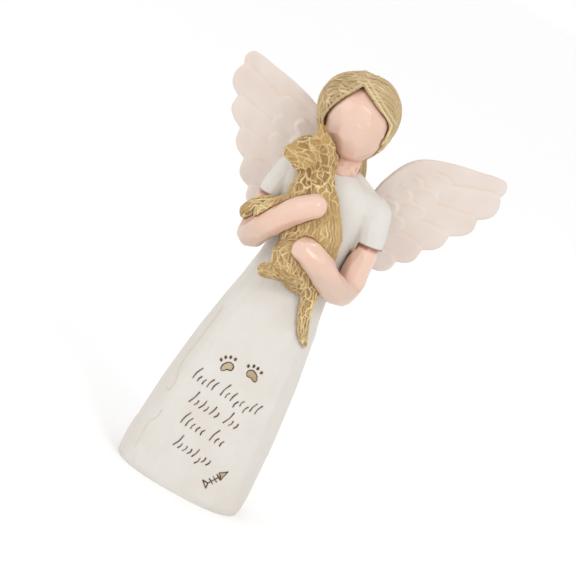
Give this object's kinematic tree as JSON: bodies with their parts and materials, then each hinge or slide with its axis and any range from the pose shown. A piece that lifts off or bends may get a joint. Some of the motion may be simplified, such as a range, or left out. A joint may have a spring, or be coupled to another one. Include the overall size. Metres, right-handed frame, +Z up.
{
  "type": "pet memorial statue",
  "caption": "Small standing angel statue with a blank face, a long gown and two spread wings, hugging a long cat against one shoulder.",
  "frame": {"origin": "middle of the flat underside of the gown", "axes": "+Z up, along the statue's height; the front, with the cat, faces -Y; the viewer's right is +X"},
  "size_m": [0.1308, 0.0608, 0.2001],
  "materials": {
    "gown": "hand-painted cast resin, warm off-white, eggshell",
    "wings": "hand-painted cast resin, pale blush, matte",
    "skin": "hand-painted cast resin, peach skin tone, satin to glossy",
    "fur_and_hair": "hand-painted carved resin, golden brown with a dark wash in the grooves and light dry-brushed ridges"
  },
  "bodies": {
    "root": {"figure": "gown", "wing_left": "wings", "wing_right": "wings"}
  },
  "joints": []
}
